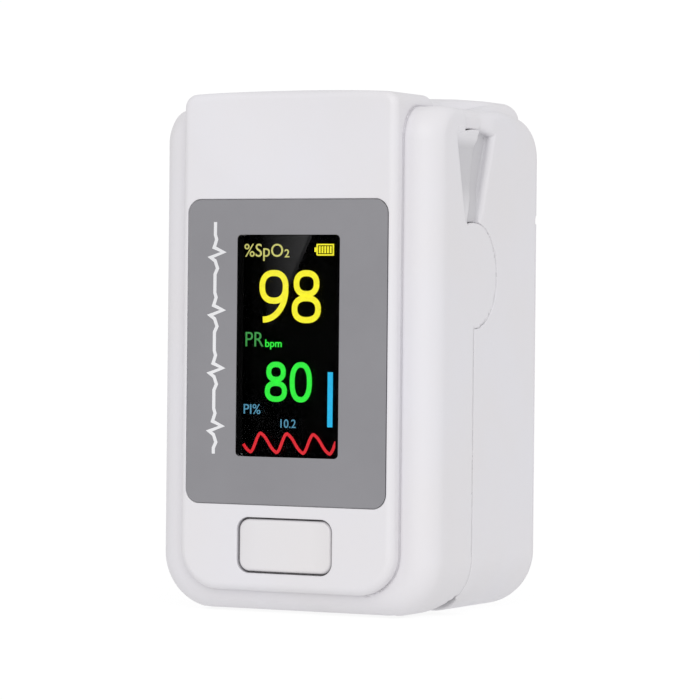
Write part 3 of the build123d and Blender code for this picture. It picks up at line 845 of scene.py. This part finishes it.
def build_shells():
    rim = mirrored([(15.6, 17.5, 0.16), (12.9, 13.9, 0.15)])
    label_x = edges_of(LABEL_BOX, 0, 1.3, 0.13)
    window_x = edges_of(LENS_BOX, 0, 0.5, 0.12)
    cap = button_box()
    fine_x = rim + label_x + window_x + edges_of(cap, 0, 1.2, 0.12)
    fine_z = [(0.3, 4.5, 0.25), (51.8, 58.2, 0.2), (43.0, 44.6, 0.2)]
    fine_z += edges_of(LABEL_BOX, 2, 1.3, 0.13) + edges_of(LENS_BOX, 2, 0.5, 0.12)
    fine_z += edges_of(cap, 2, 1.2, 0.12)
    fine_d = [(-0.2, 2.6, 0.13), (7.6, 13.6, 0.16)]
    axes = (
        graded(-17.5, 17.5, 0.55, fine_x),
        graded(-0.25, 18.4, 0.36, fine_d),
        graded(0.2, 58.3, 0.5, fine_z),
    )
    front = surface("front_cover_shell", front_cover, axes, 0.55)
    finish_piece(front, "white_shell", "front_half", ["front_cover"])

    fine_d = [(8.7, 17.6, 0.16), (28.3, 31.1, 0.22)]
    fine_z = [(-0.1, 3.0, 0.25), (43.4, 45.2, 0.14), (51.5, 58.0, 0.2)]
    axes = (
        graded(-17.5, 17.5, 0.5, mirrored([(12.8, 17.5, 0.2)])),
        graded(8.6, 31.2, 0.4, fine_d),
        graded(-0.25, 58.2, 0.5, fine_z),
    )
    rear = surface("rear_shell_moulding", rear_shell, axes, 0.55)
    finish_piece(rear, "white_shell", "rear_half", ["rear_shell"])

    axes = (
        graded(-17.5, 17.5, 0.45, mirrored([(15.2, 17.5, 0.22), (0.0, 6.2, 0.25)])),
        graded(27.5, 31.2, 0.2, [(28.4, 29.0, 0.1), (30.4, 31.2, 0.1)]),
        graded(1.0, 45.0, 0.4, [(1.2, 3.4, 0.14), (22.6, 39.6, 0.2), (43.2, 45.0, 0.12)]),
    )
    door = surface("battery_door_moulding", battery_door, axes, 0.6)
    finish_piece(door, "white_shell", "door", ["battery_door"])

    axes = (
        graded(-6.9, 6.9, 0.2, mirrored([(4.2, 6.6, 0.1)])),
        graded(-0.1, 2.3, 0.1, [(-0.1, 0.6, 0.06)]),
        graded(3.8, 11.4, 0.2, [(4.0, 6.0, 0.1), (9.2, 11.2, 0.1)]),
    )
    button = surface("button_cap", power_button, axes, 0.6)
    finish_piece(button, "button_white", "button", ["power_button"])


def build_pads():
    for side, half in ((-1, "front"), (1, "rear")):
        _, x1, d0, d1, z0, z1 = box_mm(half + "_finger_pad")
        axes = (
            graded(-x1 - 0.4, x1 + 0.4, 0.3, []),
            graded(d0 - 0.4, d1 + 0.4, 0.22, []),
            graded(z0 - 0.4, z1 + 0.4, 0.3, []),
        )
        pad = surface(half + "_silicone_pad", functools.partial(finger_pad, side), axes, 0.7)
        finish_piece(pad, "silicone", half + "_half", [half + "_finger_pad"])


# Thin flat pieces
def ribbon(name, points, width, d0, d1):
    """A flat strip of one width along points (x, z), between two depths."""
    line = np.array(points, float)
    step = np.diff(line, axis=0)
    step /= np.linalg.norm(step, axis=1, keepdims=True)
    into, out = np.vstack([step[:1], step]), np.vstack([step, step[-1:]])
    along = into + out
    along /= np.linalg.norm(along, axis=1, keepdims=True)
    side = np.stack([-along[:, 1], along[:, 0]], 1)
    reach = width / 2 / np.maximum((along * out).sum(1, keepdims=True), 0.5)
    left, right = line + side * reach, line - side * reach
    corners = ((left, d0), (right, d0), (right, d1), (left, d1))
    rings = [np.insert(rim, 1, d, axis=1) for rim, d in corners]
    count = len(line)
    faces = [(0, count, 2 * count, 3 * count), (4 * count - 1, 3 * count - 1, 2 * count - 1, count - 1)]
    for ring in range(4):
        a, b = ring * count, (ring + 1) % 4 * count
        faces += [(b + i, a + i, a + i + 1, b + i + 1) for i in range(count - 1)]
    obj = mesh_object(name, np.vstack(rings), faces)
    obj.data.shade_flat()
    return obj


def lettering(name, text, x0, x1, z0, z1, d0, d1, weight=0.0):
    """Text as a thin mesh that fills a rectangle."""
    curve = bpy.data.curves.new(name, "FONT")
    curve.body = text
    curve.resolution_u = 5
    curve.extrude = 0.5
    curve.offset = weight
    maker = link_object(name + "_outline", curve)
    evaluated = maker.evaluated_get(bpy.context.evaluated_depsgraph_get())
    mesh = bpy.data.meshes.new_from_object(evaluated)
    bpy.data.objects.remove(maker)
    co = read_points(mesh)
    low, high = co.min(0), co.max(0)
    u, v, w = ((co - low) / (high - low)).T
    place = np.stack([x0 + u * (x1 - x0), d1 + w * (d0 - d1), z0 + v * (z1 - z0)], 1)
    write_points(mesh, place)
    mesh.update()
    return link_object(name, mesh)


# The display's picture, just behind its glass
INKS = {
    "yellow": lit_ink("pixels_yellow", (1.0, 0.93, 0.03), 1.0),
    "pale": lit_ink("pixels_pale", (0.80, 0.78, 0.22), 0.75),
    "green": lit_ink("pixels_green", (0.03, 0.92, 0.05), 1.0),
    "sage": lit_ink("pixels_sage", (0.06, 0.38, 0.08), 0.9),
    "blue": lit_ink("pixels_blue", (0.02, 0.50, 0.84), 1.0),
    "slate": lit_ink("pixels_slate", (0.10, 0.33, 0.48), 0.9),
    "red": lit_ink("pixels_red", (0.76, 0.02, 0.03), 1.0),
}
GLASS_BACK = 1.14
PICTURE = (GLASS_BACK, GLASS_BACK + 0.05)
# Each label's name, text, rectangle as (x0, x1, z0, z1), ink and added weight
LABELS = (
    ("spo2_label", "%SpO", (-5.7, -0.85, 39.1, 41.0), "pale", 0.0),
    ("spo2_subscript", "2", (-0.65, -0.05, 39.5, 40.4), "pale", 0.01),
    ("pulse_label", "PR", (-5.45, -3.2, 29.6, 31.2), "sage", -0.004),
    ("pulse_unit", "bpm", (-2.97, -0.9, 29.3, 30.4), "green", 0.01),
    ("index_label", "PI%", (-5.6, -3.5, 22.1, 23.2), "slate", 0.0),
    ("index_reading", "10.2", (-0.95, 0.95, 20.65, 21.6), "slate", 0.0),
)
# Each digit in a cell one unit wide and high: its loops as (z, half width, half height), and if it has a tail
DIGITS = {
    "9": ([(0.68, 0.5, 0.32)], True),
    "8": ([(0.745, 0.44, 0.255), (0.265, 0.5, 0.265)], False),
    "0": ([(0.5, 0.5, 0.5)], False),
}
# Each reading's name, digits, x range, z range, stroke and ink
READINGS = (
    ("spo2_reading", "98", (-3.75, 3.93), (32.25, 38.1), 0.68, "yellow"),
    ("pulse_reading", "80", (-2.95, 2.9), (23.5, 27.95), 0.60, "green"),
)
DIGIT_GAP = 0.06             # between two digits, as a share of their width together
LOOP_POWER = 2.35            # 2 is an ellipse, more is squarer
TAIL_REACH = 0.78            # how far a tail runs to the left, as a share of its digit's width
TAIL_TOP = 0.62              # where a tail starts, as a share of its digit's height
BATTERY_ICON = (3.4, 5.4, 39.78, 40.92)
BATTERY_BARS = 5
LEVEL_BAR = (5.18, 20.85, 26.9)    # x, z0, z1
LEVEL_WIDTH = 0.63
WAVE_X = (-5.6, 5.95)
WAVE_Z = (17.9, 20.0)
WAVE_BEAT = 3.3              # length of one beat
WAVE_START = 0.74            # where in a beat the trace starts
WAVE_STROKE = 0.34
WAVE_RISE = 0.4              # the share of a beat that the rise takes
MASK_WIDTHS = (0.7, 0.25)    # the black borders at the glass's left and right edges
MASK_INSET = 0.06


def show(obj, ink):
    finish_piece(obj, "display_black", "front_half", material=INKS[ink])


def loop_points(cx, cz, half_x, half_z, count=40):
    """A closed, slightly squared oval."""
    points = []
    for i in range(count + 1):
        turn = math.tau * i / count
        c, s = math.cos(turn), math.sin(turn)
        reach = (abs(c) ** LOOP_POWER + abs(s) ** LOOP_POWER) ** (-1 / LOOP_POWER)
        points.append((cx + half_x * reach * c, cz + half_z * reach * s))
    return points


def draw_digit(name, digit, x0, x1, z0, z1, stroke, ink):
    """One digit, from ovals and a tail of the same stroke."""
    loops, tailed = DIGITS[digit]
    cx, wide = (x0 + x1) / 2, x1 - x0
    tall = z1 - z0
    half_stroke = stroke / 2
    for i, (at, half_x, half_z) in enumerate(loops):
        points = loop_points(cx, z0 + at * tall, half_x * wide - half_stroke, half_z * tall - half_stroke)
        show(ribbon(f"{name}_loop_{i + 1}", points, stroke, *PICTURE), ink)
    if tailed:
        points = []
        for turn in np.linspace(0, math.pi / 2, 15):
            x = x1 - half_stroke - wide * TAIL_REACH * (1 - math.cos(turn))
            points.append((x, z0 + TAIL_TOP * tall - (TAIL_TOP * tall - half_stroke) * math.sin(turn)))
        show(ribbon(name + "_tail", points, stroke, PICTURE[0] + 0.01, PICTURE[1] + 0.01), ink)


def pulse_height(t):
    """One beat of the pulse wave, from 0 to 1: a steep rise, then a slower fall with a shoulder."""
    if t < WAVE_RISE:
        return math.sin(math.pi / 2 * t / WAVE_RISE) ** 2
    fall = (t - WAVE_RISE) / (1 - WAVE_RISE)
    return 1 - fall + 0.07 * math.sin(math.tau * fall)


def build_mask():
    """The black borders printed on the glass, just behind its face."""
    x0, x1, d0, _, z0, z1 = LENS_BOX
    left, right = MASK_WIDTHS
    places = (x0 + MASK_INSET + left / 2, x1 - MASK_INSET - right / 2)
    for name, x, width in zip(("left", "right"), places, MASK_WIDTHS):
        line = [(x, z0 + 0.3), (x, z1 - 0.3)]
        bar = ribbon("screen_mask_" + name, line, width, d0 + 0.08, d0 + 0.14)
        finish_piece(bar, "display_black", "front_half")


def build_battery_icon():
    x0, x1, z0, z1 = BATTERY_ICON
    middle_z = (z0 + z1) / 2
    outline = [(x0, z0), (x1, z0), (x1, z1), (x0, z1), (x0, z0)]
    show(ribbon("battery_icon_frame", outline, 0.16, *PICTURE), "yellow")
    nub = [(x0 - 0.32, middle_z), (x0 - 0.08, middle_z)]
    show(ribbon("battery_icon_nub", nub, 0.5, *PICTURE), "yellow")
    pitch = (x1 - x0 - 0.3) / BATTERY_BARS
    for i in range(BATTERY_BARS):
        at = x0 + 0.15 + pitch * (i + 0.5)
        bar = [(at, z0 + 0.18), (at, z1 - 0.18)]
        show(ribbon(f"battery_icon_bar_{i + 1}", bar, pitch * 0.62, *PICTURE), "yellow")


def build_wave():
    low, high = WAVE_Z
    points = []
    for x in np.linspace(*WAVE_X, 140):
        beat = (WAVE_START + (x - WAVE_X[0]) / WAVE_BEAT) % 1
        points.append((x, low + (high - low) * pulse_height(beat)))
    show(ribbon("pulse_wave", points, WAVE_STROKE, *PICTURE), "red")


def build_picture():
    build_mask()
    for name, text, rectangle, ink, weight in LABELS:
        show(lettering(name, text, *rectangle, *PICTURE, weight), ink)
    for name, text, (x0, x1), (z0, z1), stroke, ink in READINGS:
        wide = (x1 - x0) * (1 - DIGIT_GAP) / 2
        draw_digit(name + "_tens", text[0], x0, x0 + wide, z0, z1, stroke, ink)
        draw_digit(name + "_ones", text[1], x1 - wide, x1, z0, z1, stroke, ink)
    build_battery_icon()
    x, z0, z1 = LEVEL_BAR
    show(ribbon("pulse_level_bar", [(x, z0), (x, z1)], LEVEL_WIDTH, *PICTURE), "blue")
    build_wave()


# The plate's printed sign: an upright pulse trace
TRACE_X = -9.0
TRACE_Z = (17.6, 43.4)
TRACE_BEATS = 4
TRACE_SWING = 1.05
TRACE_STROKE = 0.4
# One beat as (share of the beat, share of the swing)
TRACE_BEAT = (
    (0, 0), (0.22, 0), (0.30, 0.16), (0.38, 0), (0.44, -0.14), (0.52, 1.0), (0.61, -0.55), (0.67, 0),
    (0.80, 0.3), (0.90, 0),
)


def build_trace():
    low, high = TRACE_Z
    beat = (high - low) / TRACE_BEATS
    points = []
    for i in range(TRACE_BEATS):
        points += [(TRACE_X + TRACE_SWING * rise, high - beat * (i + t)) for t, rise in TRACE_BEAT]
    points.append((TRACE_X, low))
    top = LABEL_BOX[2]
    trace = ribbon("plate_pulse_trace", points, TRACE_STROKE, top - 0.012, top + 0.01)
    finish_piece(trace, "grey_plate", "front_half", material=WHITE_INK)


# Springs and the flat cable, which cross the hinge between the halves
def tube(name, path, radius, sides=12):
    """A round wire along a path of x, d, z points."""
    path = np.array(path, float)
    along = np.gradient(path, axis=0)
    along /= np.linalg.norm(along, axis=1, keepdims=True)
    across = np.cross(along, (1.0, 0.0, 0.0))
    across /= np.maximum(np.linalg.norm(across, axis=1, keepdims=True), 1e-9)
    third = np.cross(along, across)
    rings = []
    for k in range(sides):
        turn = math.tau * k / sides
        rings.append(path + radius * (math.cos(turn) * across + math.sin(turn) * third))
    points = np.stack(rings, 1).reshape(-1, 3)
    faces = []
    for i in range(len(path) - 1):
        for k in range(sides):
            a, b = i * sides + k, i * sides + (k + 1) % sides
            faces.append((a, b, b + sides, a + sides))
    obj = mesh_object(name, points, faces)
    close_ends(obj)
    return obj


def close_ends(obj):
    mesh = bmesh.new()
    mesh.from_mesh(obj.data)
    bmesh.ops.holes_fill(mesh, edges=[edge for edge in mesh.edges if edge.is_boundary])
    bmesh.ops.recalc_face_normals(mesh, faces=mesh.faces)
    mesh.to_mesh(obj.data)
    mesh.free()


SPRING_R = 1.25
WIRE_R = 0.2
SPRING_TURNS = 3
SPRING_LEG = 5.0
TURN_STEPS = 28
SPRING_BAND = 1.3            # half of a band about the hinge, for a spring
CABLE_BAND = 2.2             # and the same for the cable
CABLE_HALF = 0.12            # half of the cable's thickness
CABLE_BEND = 1.6
CABLE_SAG = 0.35
CABLE_LOW = 44.6             # where it leaves the main board


def finish_bending_piece(obj, slot, node, reach):
    """Finishes a piece that lies across the hinge: gives it its material, hides its CAD node and bakes its
    placement.
    """
    obj.data.materials.append(MATERIALS[slot])
    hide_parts(node)
    tuple(to_frame((0, HINGE_D - reach, HINGE_Z)))
    tuple(to_frame((0, HINGE_D + reach, HINGE_Z)))
    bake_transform(obj)


def build_springs():
    for side, name in ((-1, "left"), (1, "right")):
        x0, x1 = box_mm("torsion_spring_" + name)[0:2]
        inner, outer = (x0 + WIRE_R, x1 - WIRE_R) if side > 0 else (x1 - WIRE_R, x0 + WIRE_R)
        rise = -side * SPRING_R
        path = [(inner, HINGE_D - SPRING_LEG * (1 - i / 6), HINGE_Z + rise) for i in range(6)]
        for i in range(SPRING_TURNS * TURN_STEPS + 1):
            t = i / (SPRING_TURNS * TURN_STEPS)
            turn = math.tau * SPRING_TURNS * t
            d = HINGE_D + SPRING_R * math.sin(turn)
            path.append((inner + t * (outer - inner), d, HINGE_Z + rise * math.cos(turn)))
        path += [(outer, HINGE_D + SPRING_LEG * (i + 1) / 6, HINGE_Z + rise) for i in range(6)]
        spring = tube("torsion_spring_wire_" + name, path, WIRE_R)
        finish_bending_piece(spring, "spring_steel", "torsion_spring_" + name, SPRING_BAND)


def build_cable():
    """The flat cable: up from the main board, over the end of the finger channel, down to the sensor."""
    x0, x1, d0, d1, z0, z1 = box_mm("flex_cable")
    d0, d1, top = d0 + CABLE_HALF, d1 - CABLE_HALF, z1 - CABLE_HALF
    bend = CABLE_BEND
    turns = [math.pi / 2 * i / 12 for i in range(1, 12)]
    path = [(d0, z) for z in np.linspace(CABLE_LOW, top - bend, 8)]
    path += [(d0 + bend * (1 - math.cos(t)), top - bend * (1 - math.sin(t))) for t in turns]
    for t in np.linspace(0, 1, 24):
        path.append((d0 + bend + t * (d1 - d0 - 2 * bend), top - CABLE_SAG * math.sin(math.pi * t) ** 2))
    path += [(d1 - bend * (1 - math.sin(t)), top - bend * (1 - math.cos(t))) for t in turns]
    path += [(d1, z) for z in np.linspace(top - bend, z0, 20)]
    cable = ribbon("flat_cable", path, 2 * CABLE_HALF, x0, x1)
    mesh = cable.data
    # The strip was made facing the front, with its width as depth: turn it to run along the depth.
    x, y, z = (read_points(mesh) * MM).T
    write_points(mesh, np.stack([y - FRONT_Y, x, z], 1))
    mesh.flip_normals()
    mesh.update()
    finish_bending_piece(cable, "cable_amber", "flex_cable", CABLE_BAND)


# Camera and light
SENSOR = 36.0
LENS = 188.2286
LENS_SHIFT = -0.059714       # lowers the view without tilting the camera
AZIMUTH = math.radians(27)
ROLL = math.radians(0.57)
CAMERA_HEIGHT = 33.95
CAMERA_AWAY = 403.6
CAMERA_RIGHT = 7.0575        # how far the camera stands to the right of the panel's middle
BACKDROP = 1.02              # brightness of the backdrop itself
WORLD_LIGHT = 0.71           # brightness of the light that it gives
KEY_LIGHT = 0.94
KEY_AZIMUTH = math.radians(30)   # to the right of the panel's own direction
KEY_ELEVATION = math.radians(28)
KEY_SPREAD = math.radians(60)
FLOOR_Z = -0.05
FLOOR_HALF = 3000.0
FLOOR_LIFT = 0.85            # the share of the floor's brightness that takes no shadow
FLOOR_BOUNCE = 0.62          # the same share in the light that it sends up
FLOOR_GLOW = 1.05
CARD_AWAY = 250.0            # the black card that the display's glass mirrors
CARD_MARGIN = 14.0
CARD_GAP = 2.0               # between the black card and the one that makes the gleam


def add_camera():
    data = bpy.data.cameras.new("camera")
    camera = link_object("camera", data)
    toward = Vector((-math.sin(AZIMUTH), math.cos(AZIMUTH), 0))
    right = Vector((math.cos(AZIMUTH), math.sin(AZIMUTH), 0))
    panel = Vector((0, FRONT_Y, CAMERA_HEIGHT))
    place = panel - toward * CAMERA_AWAY + right * CAMERA_RIGHT
    turn = Matrix((right, Vector((0, 0, 1)), -toward)).transposed()
    camera.matrix_world = Matrix.Translation(place / MM) @ turn.to_4x4() @ Matrix.Rotation(ROLL, 4, "Z")
    data.sensor_width = SENSOR
    data.lens = LENS
    data.shift_y = LENS_SHIFT
    data.clip_start = 0.01
    data.clip_end = 20
    bpy.context.scene.camera = camera
    return place


def add_world():
    """Even white light, with a pure white backdrop behind the object."""
    world = bpy.data.worlds.new("studio")
    bpy.context.scene.world = world
    world.use_nodes = True
    graph = Graph(world.node_tree)
    seen = graph.add("LightPath").outputs["Is Camera Ray"]
    extra = graph.math("MULTIPLY", seen, BACKDROP - WORLD_LIGHT)
    strength = graph.math("ADD", extra, WORLD_LIGHT)
    graph.set(graph.nodes["Background"], Color=(1.0, 1.0, 1.0), Strength=strength)
    bpy.context.scene.view_settings.view_transform = "Standard"


def add_key_light():
    data = bpy.data.lights.new("key", "SUN")
    data.energy = KEY_LIGHT
    data.angle = KEY_SPREAD
    lamp = link_object("key", data)
    flat = math.cos(KEY_ELEVATION)
    source = (flat * math.sin(KEY_AZIMUTH), -flat * math.cos(KEY_AZIMUTH), math.sin(KEY_ELEVATION))
    lamp.rotation_euler = (-Vector(source)).to_track_quat("-Z", "Y").to_euler()


def add_floor():
    """A pale floor that the camera sees almost without shadows, and that sends light up."""
    corners = [(x * FLOOR_HALF, d * FLOOR_HALF, FLOOR_Z) for x, d in ((-1, -1), (1, -1), (1, 1), (-1, 1))]
    floor = mesh_object("floor", corners, [(0, 1, 2, 3)])
    material, graph, shader = new_material("pale_floor")
    seen = graph.add("LightPath").outputs["Is Camera Ray"]
    pale = graph.mottle(3, 2, (0.95, 0.95, 0.95), (0.97, 0.97, 0.97))
    tone = graph.mix(seen, (0.5, 0.5, 0.5), pale)
    graph.set(shader, Base_Color=tone, Roughness=0.9, Specular_IOR_Level=0.0)
    glow = graph.add("Emission", Strength=FLOOR_GLOW)
    lift = graph.math("ADD", graph.math("MULTIPLY", seen, FLOOR_LIFT - FLOOR_BOUNCE), FLOOR_BOUNCE)
    mixed = graph.add("MixShader")
    for socket, value in zip(mixed.inputs, (lift, shader.outputs["BSDF"], glow.outputs["Emission"])):
        graph.feed(socket, value)
    graph.set(graph.nodes["Material Output"], Surface=mixed.outputs["Shader"])
    floor.data.materials.append(material)


def add_card(name, camera_place, corners, away, glow):
    """A card that only reflections see, where the display's glass mirrors the given lens corners."""
    eye = camera_place.copy()
    eye.y = 2 * FRONT_Y - eye.y
    stretch = (FRONT_Y - away - eye.y) / (FRONT_Y - eye.y)
    places = []
    for x, z in corners:
        place = eye + (Vector((x, FRONT_Y, z)) - eye) * stretch
        places.append((place.x, place.y - FRONT_Y, place.z))
    card = mesh_object(name, places, [tuple(range(len(places)))])
    attribute = card.data.attributes.new("glow", "FLOAT", "POINT")
    attribute.data.foreach_set("value", np.array(glow, np.float32))
    material, graph, _ = new_material(name)
    light = graph.add("Emission", Strength=graph.attribute("glow"))
    graph.set(graph.nodes["Material Output"], Surface=light.outputs["Emission"])
    card.data.materials.append(material)
    for ray in ("camera", "diffuse", "shadow", "volume_scatter"):
        setattr(card, "visible_" + ray, False)


def add_studio(camera_place):
    add_world()
    add_key_light()
    add_floor()
    x0, x1, _, _, z0, z1 = LENS_BOX
    left, right, low, high = x0 - CARD_MARGIN, x1 + CARD_MARGIN, z0 - CARD_MARGIN, z1 + CARD_MARGIN
    wide = [(left, low), (right, low), (right, high), (left, high)]
    add_card("black_card", camera_place, wide, CARD_AWAY, [0.0] * 4)
    gleam = [(x0 + 2.6, z1 + 0.5), (x0 + 3.8, z1 - 10.5), (x1 - 3.5, z1 + 0.5)]
    add_card("gleam_card", camera_place, gleam, CARD_AWAY - CARD_GAP, [0.0, 0.05, 0.55])


camera_place = add_camera()
add_studio(camera_place)
dress_cad_nodes()
build_shells()
build_pads()
build_picture()
build_trace()
build_springs()
build_cable()
